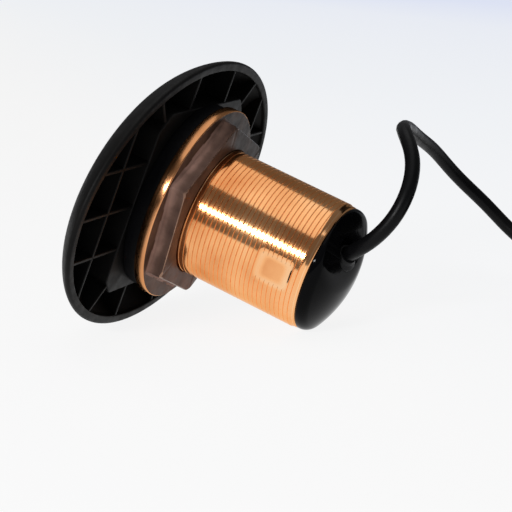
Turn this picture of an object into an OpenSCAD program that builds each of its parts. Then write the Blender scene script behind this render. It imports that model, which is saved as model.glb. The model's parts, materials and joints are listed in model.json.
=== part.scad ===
// Through-hull sonar transducer: a threaded bronze stem with its hull nut, an oval ribbed fairing
// with a flat acoustic face, a domed end cap and a cable put away as a coil. Millimetres.
// The part lies as it comes to rest, on the fairing's rim and the cap's shoulder. +X runs along
// the table from the fairing to the cap, +Y along the fairing's length and +Z up.
// Most modules are written in the stem's frame: z along the stem towards the cap, z = 0 at the
// fairing's rim, y along the fairing's length.

/* [Fairing] */
// Length of the oval fairing
fairing_len = 181; // [165:1:220]
// Width of the oval fairing
fairing_wid = 122.5; // [118:0.5:150]
// Depth of the fairing from its rim to its acoustic face
fairing_depth = 14; // [13:0.5:20]
// Height of the straight edge below the rim
edge_h = 1.6; // [1.6:0.1:3]
// Rounding of the rim's outer edge
edge_round = 1.2; // [0.8:0.1:1.6]
// How far the sloped sides run in from the edge to the flat face
side_inset = 12.5; // [9:0.5:16]
// How far the sloped ends run in from the edge to the flat face
end_inset = 25; // [18:0.5:32]
// Width of the rim's lip
lip_w = 3.9; // [3:0.1:5]
// Thickness of the floor under the pockets
floor_t = 3; // [2:0.1:4]
// Thickness of the ribs
rib_t = 1.5; // [1:0.1:2.5]
// How far the ribs stay below the rim
rib_drop = 0.5; // [0.2:0.1:1.5]
// Spacing of the lengthwise ribs
rib_pitch = 19.7; // [16:0.1:22]
// Place of the end ribs along the fairing
end_rib_y = 64.5; // [56:0.5:72]
// Place of the side ribs along the fairing
side_rib_y = 18; // [12:0.5:24]
// Length of the hub that carries the stem
hub_len = 85.5; // [84:0.5:96]
// Width of the hub that carries the stem
hub_wid = 83; // [82:0.5:92]
// Cut across the hub's corners
hub_corner = 7; // [4:0.5:10]
// Depth of the stem's seat below the rim
seat_z = 4.5; // [4:0.1:5.5]

/* [Stem] */
// Outer diameter of the thread
stem_d = 57.15; // [54:0.05:60]
// Length of the stem above the fairing's rim
stem_len = 75.3; // [66:0.1:110]
// Bore of the stem
stem_bore = 40; // [36:0.5:44]
// Depth of the plain land at the stem's end
land_depth = 0.45; // [0.3:0.05:0.8]
// Length of the plain land at the stem's end
land_len = 2.2; // [1:0.1:4]
// Chamfer at the stem's end
end_chamfer = 0.8; // [0.4:0.1:1.5]
// Diameter of the stem's foot
foot_d = 73.8; // [70:0.1:76]
// Length of the bare flat milled in the thread
flat_len = 16; // [8:0.5:24]
// Depth of the bare flat
flat_depth = 0.9; // [0.5:0.05:1.5]
// Distance from the flat's middle to the stem's end
flat_back = 14; // [13:0.5:30]

/* [Washer and nut] */
// Diameter of the sealing washer
washer_d = 85; // [80:0.5:88]
// Thickness of the sealing washer
washer_t = 6.4; // [4:0.1:12]
// Diameter of the nut's round flange
nut_flange_d = 87.8; // [84:0.2:92]
// Thickness of the nut's round flange
nut_flange_t = 4.7; // [3:0.1:6]
// Width across the nut's flats
nut_af = 71.4; // [68:0.2:74]
// Height of the nut
nut_h = 11.7; // [9:0.1:16]
// Height of the chamfer at the nut's corners
nut_chamfer = 0.9; // [0.6:0.1:2]

/* [End cap] */
// Diameter of the cap
cap_d = 56; // [52:0.1:56.2]
// Height of the cap's straight skirt
cap_skirt = 0.7; // [0.4:0.1:3]
// Radius of the cap's shoulder
cap_shoulder = 5; // [4:0.1:6]
// Angle at which the shoulder runs into the dome
cap_dome_angle = 61; // [58:1:70]
// Slope of the flat facet at the cable's outlet
facet_tilt = 22; // [18:1:25]
// Angle of the cable's outlet from the stem's axis
outlet_tilt = 56; // [45:1:62]
// Distance of the outlet from the stem's axis
outlet_r = 12; // [10:0.1:14]
// Diameter of the recess around the cable
recess_d = 13; // [11:0.1:14]
// Length of the cap's spigot in the stem
spigot_len = 8; // [6:0.1:10]

/* [Element] */
// Thickness of the acoustic window
window_t = 4; // [3:0.1:5]
// Diameter of the ceramic disc
ceramic_d = 46; // [40:0.5:47]
// Thickness of the ceramic disc
ceramic_t = 6; // [4:0.1:7]
// Thickness of the matching layer
matching_t = 1.5; // [1:0.1:2]
// Wall of the sleeve round the ceramic disc
sleeve_t = 2.9; // [2:0.1:3]
// Length of the potting in the bore
potting_len = 48; // [36:1:48]
// Outer diameter of the tuning coil
toroid_d = 29; // [24:0.5:32]
// Section diameter of the tuning coil
toroid_t = 9; // [7:0.1:9]
// Thickness of the circuit board
board_t = 1.6; // [1:0.1:2]

/* [Cable] */
// Diameter of the cable
cable_d = 6.4; // [6:0.1:6.6]
// Mean radius of the coil
coil_r = 45.5; // [43:0.5:50]
// Turns beside each other in a layer
coil_turns = 5; // [4:1:5]
// Layers in the coil
coil_layers = 6; // [4:1:8]
// Thickness of the coil's ties
tie_t = 1; // [0.6:0.1:2]
// Width of the coil's ties
tie_w = 8; // [5:0.5:12]

/* [Connector] */
// Length of the connector's boot
boot_len = 24; // [18:0.5:30]
// Diameter of the connector's body
plug_d = 15.2; // [14:0.1:16]
// Length of the connector's body with its nose
plug_len = 38; // [34:0.5:46]
// Diameter of the connector's nose
nose_d = 13.2; // [12:0.1:13.4]
// Length of the connector's nose
nose_len = 14; // [12:0.5:18]
// Diameter of the coupling ring
ring_d = 19; // [18:0.1:22]
// Length of the coupling ring
ring_len = 16; // [14:0.5:18]

/* [Hidden] */
$fn = 96;

// Clearances and small cuts
fit = 0.1;
seat_fit = 0.2;
cut = 1;
far = 200;

// Colours
black_plastic = "#18191b";
black_rubber = "#1d1f24";
bronze = "#c08a52";
gold = "#c9a24a";

// Heights along the stem
seat_d = foot_d + 2 * seat_fit;
gasket_t = 0.8;
foot_top = -seat_z - gasket_t;
window_top = -fairing_depth + window_t;
foot_roof = 1.2;
sleeve_d = ceramic_d + 2 * sleeve_t;
ceramic_z = window_top + matching_t;
backing_z = ceramic_z + ceramic_t;
backing_t = 2.5;
element_top = backing_z + backing_t;
potting_top = element_top + potting_len;
board_z = potting_top + toroid_t;
board_d = 30;
room_d = 24;
room_top = stem_len - 3.3;
nut_z = washer_t;
nut_top = nut_z + nut_h;
nut_turn = 10;
thread_pitch = 2.117;
pitch_d = stem_d - 0.6495 * thread_pitch;
oval_n = 72;
arc_n = 8;

// Slope of the fairing from its edge to its flat face, as shares of [inset, depth] from the face up
nose_power = 1.5;
nose_arc = [for (i = [arc_n : -1 : 0]) let (a = 90 * i / arc_n)
  [1 - pow(cos(a), nose_power), pow(sin(a), nose_power)]];
nose_rise = fairing_depth - edge_h;

// Cap profile: a shoulder arc that runs into a dome arc, as [radius, height] pairs
shoulder_r = cap_d / 2 - cap_shoulder;
shoulder_z = stem_len + cap_skirt;
dome_r = shoulder_r / cos(cap_dome_angle) + cap_shoulder;
dome_z = shoulder_z - shoulder_r * tan(cap_dome_angle);
cap_profile = concat(
  [for (i = [0 : arc_n]) let (a = cap_dome_angle * i / arc_n)
    [shoulder_r + cap_shoulder * cos(a), shoulder_z + cap_shoulder * sin(a)]],
  [for (i = [1 : arc_n]) let (a = cap_dome_angle + (90 - cap_dome_angle) * i / arc_n)
    [dome_r * cos(a), dome_z + dome_r * sin(a)]]
);
facet_z = stem_len + 0.4;
cap_turn = -155;
function facet_at(s) = facet_z + tan(facet_tilt) * (cap_d / 2 - s);
outlet_z = facet_at(outlet_r);
recess_depth = 5;
grip = 15;

// Resting pose: one line touches the rim's rounding and the cap's shoulder
lip_at = [fairing_wid / 2 - edge_round, -edge_round];
reach = [lip_at[0] - shoulder_r, shoulder_z - lip_at[1]];
lay_tilt = atan2(reach[0], reach[1]) - asin((cap_shoulder - edge_round) / norm(reach));
lay_z = cos(lay_tilt) * lip_at[0] + sin(lay_tilt) * lip_at[1] + edge_round;

// The origin lies under the middle of the part's length, cable left out
nose_xs = [for (q = nose_arc)
  -sin(lay_tilt) * (fairing_wid / 2 - side_inset * q[0]) - cos(lay_tilt) * (edge_h + nose_rise * q[1])];
cap_xs = [for (q = cap_profile, a = [0 : 3 : 357])
  if (q[1] < facet_at(q[0] * cos(a - cap_turn)))
    cos(lay_tilt) * q[1] - sin(lay_tilt) * q[0] * cos(a)];
lay_x = -(min(nose_xs) + max(cap_xs)) / 2;

// Coil on the table, past the right of the part
coil_at = [177, 65, tie_t];
coil_half = coil_turns * cable_d / 2;
coil_out = coil_r + coil_half;
coil_h = coil_layers * cable_d;
coil_top = coil_at[2] + coil_h;
stub_len = 32;
tie_turns = [140, 215, 290];

// Cable route from the cap's outlet to the coil
outlet_dir = [sin(outlet_tilt) * cos(cap_turn), sin(outlet_tilt) * sin(cap_turn), cos(outlet_tilt)];
outlet_at = [outlet_r * cos(cap_turn), outlet_r * sin(cap_turn), outlet_z];
function laid(p) = [
  lay_x - sin(lay_tilt) * p[0] + cos(lay_tilt) * p[2],
  p[1],
  lay_z - cos(lay_tilt) * p[0] - sin(lay_tilt) * p[2]
];
cable_route = concat(
  [laid(outlet_at - grip * outlet_dir), laid(outlet_at)],
  [[65.7, -9, 40], [75.7, -8, 50], [80.7, -3, 62], [79.7, 6, 73], [73.7, 16, 81], [68.7, 28, 83],
   [64.7, 42, 82], [60.7, 55, 81], [57.7, 69, 79], [55.7, 82, 76], [55.7, 95, 71], [57.7, 108, 65],
   [61.7, 118, 56], [67.7, 125, 47], [76.7, 130, 37], [85.7, 132, 27], [96, 131.5, 18.5],
   [107, 130, 12], [119, 128.3, 7.6], [132, 127, 5]],
  [[coil_at[0] - stub_len, coil_at[1] + coil_out, coil_at[2] + cable_d / 2]]
);

// Cable tail from the coil's top layer to the connector, which lies on the coil
plug_at = coil_at + [coil_r, coil_out - 47, coil_h + ring_d / 2];
tail_from = coil_at + [0, coil_out, coil_h - cable_d / 2];
tail_at = coil_at + [coil_r - 24, coil_out - 7, coil_h + 3.6];
tail_route = [
  tail_at, coil_at + [coil_r - 13, coil_out - 14, coil_h + 5.5],
  coil_at + [coil_r - 5.5, coil_out - 23.5, coil_h + 7.3],
  coil_at + [coil_r - 1.2, coil_out - 35, coil_h + 8.8], plug_at
];
cable_sides = 10;

// Oval ring of the fairing, set in from its outline at the sides and at the ends, at a height
function oval(side, end, z) = [for (i = [0 : oval_n - 1]) let (a = 360 * i / oval_n)
  [(fairing_wid / 2 - side) * cos(a), (fairing_len / 2 - end) * sin(a), z]];

// Skin over a stack of rings with equal counts, given from the bottom up
module loft(rings) {
  n = len(rings[0]);
  m = len(rings);
  points = [for (r = rings) each r];
  sides = [for (k = [0 : m - 2], i = [0 : n - 1])
    [k * n + i, (k + 1) * n + i, (k + 1) * n + (i + 1) % n, k * n + (i + 1) % n]];
  bottom = [for (i = [0 : n - 1]) i];
  top = [for (i = [n - 1 : -1 : 0]) (m - 1) * n + i];
  polyhedron(points, concat([bottom], sides, [top]));
}

// Round tube swept along a list of points
function unit(v) = v / norm(v);
function carried(dirs, i, side) = i == len(dirs) ? [] :
  let (s = unit(side - (side * dirs[i]) * dirs[i])) concat([s], carried(dirs, i + 1, s));
module sweep(route, d, start_dir, end_dir) {
  last = len(route) - 1;
  dirs = [for (i = [0 : last]) i == 0 ? unit(start_dir) : i == last ? unit(end_dir)
    : unit(route[i + 1] - route[i - 1])];
  sides = carried(dirs, 0, cross(dirs[0], [0, 1, 0]));
  loft([for (i = [0 : last]) [for (k = [0 : cable_sides - 1]) let (a = 360 * k / cable_sides)
    route[i] + d / 2 * (cos(a) * sides[i] + sin(a) * cross(dirs[i], sides[i]))]]);
}

// Places what is written in the stem's frame as the part lies
module lay() {
  translate([lay_x, 0, lay_z]) rotate([0, 90 + lay_tilt, 0]) children();
}

// Ring with a plain bore between two heights
module ring(outer_d, inner_d, z0, z1) {
  translate([0, 0, z0]) difference() {
    cylinder(d = outer_d, h = z1 - z0);
    translate([0, 0, -cut]) cylinder(d = inner_d, h = z1 - z0 + 2 * cut);
  }
}

// Straight rod between two points
module rod(from, to, d) {
  v = to - from;
  translate(from) rotate([0, acos(v[2] / norm(v)), atan2(v[1], v[0])]) cylinder(d = d, h = norm(v));
}

// Outer form of the fairing, run past its rim plane
module fairing_form() {
  nose = [for (q = nose_arc) oval(side_inset * q[0], end_inset * q[0], -edge_h - nose_rise * q[1])];
  rounding = [for (a = [0 : 20 : 60]) let (in = edge_round * (1 - cos(a)))
    oval(in, in, -edge_round + edge_round * sin(a))];
  loft(concat(nose, rounding, [oval(2 * edge_round, 2 * edge_round, edge_round / 2)]));
}

// Hollow of the fairing before ribs and hub are left standing in it
module fairing_hollow() {
  side = side_inset - lip_w;
  end = end_inset - lip_w;
  rise = nose_rise - floor_t;
  floor_arc = [for (i = [0 : 2 : arc_n]) let (q = nose_arc[i])
    oval(lip_w + side * q[0], lip_w + end * q[0], -edge_h - rise * q[1])];
  loft(concat(floor_arc, [oval(lip_w, lip_w, cut)]));
}

// Hub block with its corners cut
module hub() {
  x = hub_wid / 2;
  y = hub_len / 2;
  c = hub_corner;
  translate([0, 0, -fairing_depth]) linear_extrude(fairing_depth + 2 * cut) polygon([
    [x, c - y], [x, y - c], [x - c, y], [c - x, y], [-x, y - c], [-x, c - y], [c - x, -y], [x - c, -y]
  ]);
}

// Upright plate of a rib, centred on its line
module rib(length, turn) {
  h = fairing_depth - rib_drop;
  rotate([0, 0, turn]) translate([-length / 2, -rib_t / 2, -fairing_depth]) cube([length, rib_t, h]);
}

// Rib grid: lengthwise, end, side and corner ribs
module ribs() {
  for (x = [-rib_pitch, 0, rib_pitch]) translate([x, 0, 0]) rib(fairing_len, 90);
  for (s = [-1, 1]) {
    translate([0, s * end_rib_y, 0]) rib(fairing_wid, 0);
    translate([0, s * side_rib_y, 0]) rib(fairing_wid, 0);
  }
  corner = [(hub_wid - hub_corner) / 2, (hub_len - hub_corner) / 2];
  for (sx = [-1, 1], sy = [-1, 1])
    translate([sx * corner[0], sy * corner[1], 0]) rib(hub_wid / 2, atan2(sy * hub_wid, sx * hub_len));
}

module fairing() {
  color(black_plastic) lay() difference() {
    intersection() {
      fairing_form();
      translate([-far, -far, -far]) cube([2 * far, 2 * far, far]);
    }
    difference() {
      fairing_hollow();
      hub();
      ribs();
    }
    translate([0, 0, -fairing_depth - cut]) cylinder(d = seat_d, h = fairing_depth - seat_z + cut);
    translate([0, 0, -seat_z - cut]) cylinder(d = stem_d + 2 * seat_fit, h = seat_z + 2 * cut);
  }
}

module acoustic_window() {
  edge = 0.5;
  r = foot_d / 2;
  color(black_rubber) lay() rotate_extrude() polygon([
    [0, -fairing_depth], [r - edge, -fairing_depth], [r, -fairing_depth + edge], [r, window_top],
    [0, window_top]
  ]);
}

// Under the nut, where its thread engages, stem and nut are drawn at the pitch diameter
module stem_housing() {
  r = stem_d / 2;
  root_r = pitch_d / 2;
  land_r = r - land_depth;
  ring_r = foot_d / 2 - 3.9;
  color(bronze) lay() difference() {
    rotate_extrude() polygon([
      [ring_r, window_top], [foot_d / 2, window_top], [foot_d / 2, foot_top], [root_r, foot_top],
      [root_r, nut_top + seat_fit], [r, nut_top + seat_fit],
      [r, stem_len - land_len - land_depth], [land_r, stem_len - land_len],
      [land_r, stem_len - end_chamfer], [land_r - end_chamfer, stem_len], [stem_bore / 2, stem_len],
      [stem_bore / 2, element_top], [sleeve_d / 2 + fit, element_top],
      [sleeve_d / 2 + fit, foot_top - foot_roof], [ring_r, foot_top - foot_roof]
    ]);
    rotate([0, 0, -85]) translate([r - flat_depth, -r, stem_len - flat_back - flat_len / 2])
      cube([r, 2 * r, flat_len]);
  }
}

module foot_gasket() {
  color(black_rubber) lay() ring(foot_d, stem_d + 2 * seat_fit, foot_top, -seat_z);
}

module sealing_washer() {
  edge = 0.6;
  r = washer_d / 2;
  bore_r = stem_d / 2 + seat_fit;
  color(black_rubber) lay() rotate_extrude() polygon([
    [bore_r, 0], [r - edge, 0], [r, edge], [r, washer_t - edge], [r - edge, washer_t], [bore_r, washer_t]
  ]);
}

module hull_nut() {
  r = nut_flange_d / 2;
  corner_r = nut_af / sqrt(3);
  past_r = corner_r + cut;
  inner_r = corner_r - nut_chamfer / tan(30);
  edge = 0.5;
  hex_h = nut_h - nut_flange_t;
  color(bronze) lay() translate([0, 0, nut_z]) difference() {
    union() {
      rotate_extrude() polygon([
        [0, 0], [r - edge, 0], [r, edge], [r, nut_flange_t - edge], [r - edge, nut_flange_t],
        [0, nut_flange_t]
      ]);
      translate([0, 0, nut_flange_t]) intersection() {
        rotate([0, 0, nut_turn]) cylinder(r = corner_r, h = hex_h, $fn = 6);
        rotate_extrude() polygon([
          [0, 0], [past_r, 0], [past_r, hex_h - nut_chamfer - cut * tan(30)], [inner_r, hex_h], [0, hex_h]
        ]);
      }
    }
    translate([0, 0, -cut]) cylinder(d = pitch_d + 2 * fit, h = nut_h + 2 * cut);
  }
}

module matching_layer() {
  color("#8d8a80") lay() translate([0, 0, window_top]) cylinder(d = ceramic_d, h = matching_t);
}

module ceramic_disc() {
  color("#d9d2bd") lay() translate([0, 0, ceramic_z]) cylinder(d = ceramic_d, h = ceramic_t);
}

module element_sleeve() {
  color("#9a7b52") lay() ring(sleeve_d, ceramic_d + 2 * fit, window_top, element_top);
}

// Places of the two wires that run up from the ceramic disc
wire_d = 1.6;
wire_x = 3;
module wire_holes(z0, z1) {
  for (s = [-1, 1]) translate([s * wire_x, 0, z0 - cut])
    cylinder(d = wire_d + 2 * fit, h = z1 - z0 + 2 * cut);
}

module backing_disc() {
  color("#a98a5c") lay() difference() {
    translate([0, 0, backing_z]) cylinder(d = ceramic_d, h = backing_t);
    wire_holes(backing_z, element_top);
  }
}

module thermistor() {
  bead_d = 4;
  bead_r = sleeve_d / 4 + foot_d / 4 - 1.95;
  color("#3a3f46") lay() translate([0, bead_r, window_top])
    cylinder(d = bead_d, h = foot_top - foot_roof - fit - window_top);
}

module potting_fill() {
  color("#2b2d31") lay() difference() {
    translate([0, 0, element_top]) cylinder(d = stem_bore - 2 * fit, h = potting_len);
    wire_holes(element_top, potting_top);
  }
}

module tuning_coil() {
  color("#8a5a2c") lay() translate([0, 0, potting_top + toroid_t / 2])
    rotate_extrude() translate([(toroid_d - toroid_t) / 2, 0]) circle(d = toroid_t);
}

module id_board() {
  color("#2f6b45") lay() translate([0, 0, board_z]) cylinder(d = board_d, h = board_t);
}

module lead_wires() {
  color("#b03a2e") lay() {
    for (s = [-1, 1]) translate([s * wire_x, 0, backing_z]) cylinder(d = wire_d, h = board_z - backing_z);
    for (a = [0, 120, 240]) rotate([0, 0, a]) translate([2 * wire_x, 0, board_z + board_t])
      cylinder(d = wire_d, h = room_top - fit - board_z - board_t);
  }
}

// Frame of the cable's outlet, z along the cable as it leaves the facet
module at_outlet() {
  translate(outlet_at) rotate([0, 0, cap_turn]) rotate([0, outlet_tilt, 0]) children();
}

// Groove of the cap's seal
o_ring_t = 1.9;
o_ring_z = stem_len - spigot_len / 2;
o_ring_r = stem_bore / 2 - fit - o_ring_t / 2;

module end_cap() {
  spigot_d = stem_bore - 2 * seat_fit;
  color(black_plastic) lay() difference() {
    union() {
      rotate_extrude() polygon(concat([[0, stem_len], [cap_d / 2, stem_len]], cap_profile));
      translate([0, 0, stem_len - spigot_len]) cylinder(d = spigot_d, h = spigot_len + cap_skirt);
    }
    rotate([0, 0, cap_turn]) translate([cap_d / 2, 0, facet_z]) rotate([0, facet_tilt, 0])
      translate([-far, -far / 2, 0]) cube([2 * far, far, far]);
    at_outlet() {
      translate([0, 0, -recess_depth]) cylinder(d = recess_d, h = 3 * recess_depth);
      translate([0, 0, -2 * grip]) cylinder(d = cable_d + 2 * fit, h = 3 * grip);
    }
    translate([0, 0, stem_len - spigot_len - cut])
      cylinder(d = room_d, h = room_top - stem_len + spigot_len + cut);
    translate([0, 0, o_ring_z - o_ring_t / 2 - fit])
      ring(stem_bore, 2 * (o_ring_r - o_ring_t / 2 - fit), 0, o_ring_t + 2 * fit);
  }
}

module cap_o_ring() {
  color(black_rubber) lay() translate([0, 0, o_ring_z])
    rotate_extrude() translate([o_ring_r, 0]) circle(d = o_ring_t, $fn = 24);
}

module cable_grommet() {
  bore_r = cable_d / 2 + fit;
  r = recess_d / 2 - seat_fit;
  neck_r = bore_r + 0.8;
  color(black_rubber) lay() at_outlet() rotate_extrude() polygon([
    [bore_r, -recess_depth], [r, -recess_depth], [r, -recess_depth / 2], [(r + neck_r) / 2, -1],
    [neck_r, 0.6], [bore_r, 0.6]
  ]);
}

module cable() {
  color(black_rubber) sweep(cable_route, cable_d, cable_route[1] - cable_route[0], [1, 0, 0]);
}

module cable_coil() {
  edge = cable_d / 2;
  in_r = coil_r - coil_half - cable_d / 2;
  out_r = coil_out + cable_d / 2;
  color(black_rubber) union() {
    translate(coil_at) rotate_extrude() polygon([
      [in_r + edge, 0], [out_r - edge, 0], [out_r, edge], [out_r, coil_h - edge], [out_r - edge, coil_h],
      [in_r + edge, coil_h], [in_r, coil_h - edge], [in_r, edge]
    ]);
    rod(coil_at + [-stub_len, coil_out, cable_d / 2], coil_at + [0, coil_out, cable_d / 2], cable_d);
    rod(tail_from, tail_at, cable_d);
  }
}

module cable_tail() {
  color(black_rubber) sweep(tail_route, cable_d, tail_at - tail_from, [0, -1, 0]);
}

// One strap round the coil's bundle
module tie() {
  slack = 0.25;
  in_r = coil_r - coil_half - cable_d / 2 - slack;
  out_r = coil_out + cable_d / 2 + fit;
  rotate([90, 0, 0]) translate([0, 0, -tie_w / 2]) linear_extrude(tie_w) difference() {
    translate([in_r - tie_t, -tie_t]) square([out_r - in_r + 2 * tie_t, coil_h + 2 * tie_t]);
    translate([in_r, 0]) square([out_r - in_r, coil_h]);
  }
}

module coil_ties() {
  color("#2c2c2e") translate(coil_at) for (a = tie_turns) rotate([0, 0, a]) tie();
}

// Frame of the connector, z along it from the cable's end to its nose
module at_plug() {
  translate(plug_at) rotate([90, 0, 0]) children();
}

body_len = plug_len - nose_len;
nose_z = boot_len + body_len;
plug_end = boot_len + plug_len;
seal_t = 2;
nose_root_d = nose_d - 0.8;
insert_d = nose_d - 2.8;
insert_len = nose_len - 4;
ring_z = nose_z + 6 - ring_len;
ring_bore = plug_d + 2 * fit;
contact_d = 1.4;
contact_r = 3.2;
contact_len = 6;

module connector_boot() {
  tail_r = cable_d / 2 + 1.2;
  head_r = plug_d / 2 - 0.3;
  groove = 0.7;
  color(black_rubber) at_plug() difference() {
    cylinder(r1 = tail_r, r2 = head_r, h = boot_len);
    for (i = [1 : 4]) translate([0, 0, i * boot_len / 6]) {
      r = tail_r + (head_r - tail_r) * i / 6;
      ring(2 * r + 2, 2 * (r - groove), 0, 1.4);
    }
  }
}

module connector_body() {
  color(black_plastic) at_plug() difference() {
    union() {
      translate([0, 0, boot_len]) cylinder(d = plug_d, h = body_len);
      translate([0, 0, nose_z]) cylinder(d = nose_root_d, h = nose_len);
      translate([0, 0, nose_z + seal_t]) cylinder(d = nose_d, h = nose_len - seal_t);
    }
    translate([0, 0, plug_end - insert_len]) cylinder(d = insert_d + 2 * fit, h = insert_len + cut);
  }
}

// Places of the contacts: one in the middle and six round it
module contact_places() {
  children();
  for (a = [0 : 60 : 300]) rotate([0, 0, a]) translate([contact_r, 0, 0]) children();
}

module connector_insert() {
  color("#3b3c40") at_plug() difference() {
    translate([0, 0, plug_end - insert_len]) cylinder(d = insert_d, h = insert_len);
    translate([0, 0, plug_end - contact_len]) contact_places()
      cylinder(d = contact_d + 2 * fit, h = contact_len + cut, $fn = 24);
  }
}

module connector_contacts() {
  color(gold) at_plug() translate([0, 0, plug_end - contact_len]) contact_places()
    cylinder(d = contact_d, h = contact_len, $fn = 24);
}

module connector_seal() {
  color("#33363c") at_plug() ring(plug_d, nose_root_d + 2 * fit, nose_z, nose_z + seal_t - fit);
}

module coupling_ring() {
  flutes = 18;
  flute_d = 1.6;
  color(black_plastic) at_plug() difference() {
    ring(ring_d, ring_bore, ring_z, ring_z + ring_len);
    for (i = [0 : flutes - 1]) rotate([0, 0, 360 * (i + 0.5) / flutes])
      translate([ring_d / 2, 0, ring_z + 2]) cylinder(d = flute_d, h = ring_len - 4, $fn = 24);
  }
}

fairing();
acoustic_window();
stem_housing();
foot_gasket();
sealing_washer();
hull_nut();
matching_layer();
ceramic_disc();
element_sleeve();
backing_disc();
thermistor();
potting_fill();
tuning_coil();
id_board();
lead_wires();
end_cap();
cap_o_ring();
cable_grommet();
cable();
cable_coil();
cable_tail();
coil_ties();
connector_boot();
connector_body();
connector_insert();
connector_contacts();
connector_seal();
coupling_ring();
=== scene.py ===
"""Looks of a through-hull sonar transducer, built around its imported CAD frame.

Pieces of the stem's assembly are modelled in the stem's own frame in millimetres, with z along the stem
towards the cap and z = 0 at the fairing's rim, and are laid as the frame lies. Blender works in metres.
"""

import json
import math

import bmesh
import bpy
import numpy as np
from mathutils import Matrix, Vector


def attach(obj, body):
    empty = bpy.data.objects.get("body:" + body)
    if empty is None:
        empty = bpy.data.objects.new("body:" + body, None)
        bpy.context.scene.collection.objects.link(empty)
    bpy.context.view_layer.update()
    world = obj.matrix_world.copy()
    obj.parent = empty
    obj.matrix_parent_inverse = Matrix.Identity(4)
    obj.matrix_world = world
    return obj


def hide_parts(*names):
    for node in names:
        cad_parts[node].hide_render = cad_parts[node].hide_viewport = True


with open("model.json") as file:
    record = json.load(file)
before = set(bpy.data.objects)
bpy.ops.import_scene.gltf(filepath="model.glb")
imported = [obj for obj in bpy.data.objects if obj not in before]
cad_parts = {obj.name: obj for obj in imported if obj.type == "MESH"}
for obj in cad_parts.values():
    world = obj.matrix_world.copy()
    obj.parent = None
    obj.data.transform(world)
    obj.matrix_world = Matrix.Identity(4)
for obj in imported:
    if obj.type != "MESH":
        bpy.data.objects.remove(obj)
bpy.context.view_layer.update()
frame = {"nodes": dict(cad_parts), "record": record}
MM = 0.001

# Points round a turned piece, the hole left on the axis of one, and the distance in metres that merges points
ROUND = 160
AXIS_R = 0.01
MERGE = 1e-6

# Sizes that the pieces share with the part's source, in millimetres: the fairing
FAIRING_LEN = 181.0
FAIRING_WID = 122.5
FAIRING_DEPTH = 14.0
EDGE_H = 1.6
EDGE_ROUND = 1.2
SIDE_INSET = 12.5
END_INSET = 25.0
NOSE_POWER = 1.5
NOSE_RISE = FAIRING_DEPTH - EDGE_H
LIP_W = 3.9
FLOOR_T = 3.0
FLOOR_SIDE = SIDE_INSET - LIP_W
FLOOR_END = END_INSET - LIP_W
FLOOR_RISE = NOSE_RISE - FLOOR_T
FLOOR_Z = -EDGE_H - FLOOR_RISE
RIB_T = 1.5
RIB_DROP = 0.5
RIB_PITCH = 19.7
END_RIB_Y = 64.5
SIDE_RIB_Y = 18.0
HUB_LEN = 85.5
HUB_WID = 83.0
HUB_CORNER = 7.0
SEAT_Z = 4.5
SEAT_R = 37.1

# The stem, with the pitch radius of its thread, the plain land at its end, its bare flat and its foot
STEM_R = 28.575
STEM_LEN = 75.3
STEM_BORE_R = 20.0
STEM_HOLE_R = STEM_R + 0.2
THREAD_PITCH = 2.117
PITCH_R = STEM_R - 0.6495 * THREAD_PITCH / 2
LAND_R = STEM_R - 0.45
LAND_Z = STEM_LEN - 2.2
FLAT_TURN = math.radians(-85)
FLAT_DEPTH = 0.9
FLAT_MID = STEM_LEN - 14
FLAT_LEN = 16.0
FLAT_PLANE = STEM_R - FLAT_DEPTH
FLAT_HALF_WID = math.sqrt(STEM_R**2 - FLAT_PLANE**2)
FOOT_R = 36.9
FOOT_TOP = -5.3
FOOT_ROOF = FOOT_TOP - 1.2
FOOT_RING_R = 33.0
SLEEVE_R = 26.0
ELEMENT_TOP = 0.0
WINDOW_TOP = -10.0

# The washer and the nut
WASHER_R = 42.5
WASHER_T = 6.4
NUT_FLANGE_R = 43.9
NUT_FLANGE_T = 4.7
NUT_AF = 71.4
NUT_H = 11.7
NUT_CHAMFER = 0.9
NUT_CHAMFER_SLOPE = math.tan(math.radians(30))
NUT_TURN = math.radians(10)
NUT_BORE_R = PITCH_R + 0.1
NUT_FOOT = WASHER_T + NUT_FLANGE_T
NUT_TOP = WASHER_T + NUT_H
THREAD_Z = NUT_TOP + 0.2

# The end cap and the cable's outlet
CAP_R = 28.0
CAP_SHOULDER = 5.0
CAP_SKIRT = 0.7
CAP_DOME_ANGLE = math.radians(61)
FACET_Z = STEM_LEN + 0.4
FACET_TILT = math.radians(22)
CAP_TURN = math.radians(-155)
OUTLET_R = 12.0
OUTLET_TILT = math.radians(56)
RECESS_R = 6.5
RECESS_DEPTH = 5.0
SPIGOT_R = STEM_BORE_R - 0.2
SPIGOT_LEN = 8.0
CABLE_D = 6.4
CABLE_GRIP = 15.0

# Thread as it is drawn, with half its groove's width as a share of the pitch, and the slope into the flat
THREAD_DEPTH = 0.4
GROOVE_HALF = 0.1
RUN_OUT = 0.8
FLAT_EASE = 1.6

# Small edges as they are drawn, in steps of (in, down) or (in, up)
STEM_END_EDGE = ((0.0, 0.8), (0.15, 0.55), (0.65, 0.05), (0.8, 0.0))
NUT_FOOT_FILLET = ((-1.4, 0.0), (-0.84, 0.11), (-0.42, 0.35), (-0.1, 0.77), (0.0, 1.4))
NUT_CROWN_EDGE = ((0.0, 0.9), (0.1, 0.4), (0.4, 0.1), (0.9, 0.0))

# Cable as in the part's source: its length in metres and its route from the outlet to the coil in millimetres
CABLE_ROUTE = [
    (65.7, -9, 40), (75.7, -8, 50), (80.7, -3, 62), (79.7, 6, 73), (73.7, 16, 81), (68.7, 28, 83),
    (64.7, 42, 82), (60.7, 55, 81), (57.7, 69, 79), (55.7, 82, 76), (55.7, 95, 71), (57.7, 108, 65),
    (61.7, 118, 56), (67.7, 125, 47), (76.7, 130, 37), (85.7, 132, 27), (96, 131.5, 18.5),
    (107, 130, 12), (119, 128.3, 7.6), (132, 127, 5),
]

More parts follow.
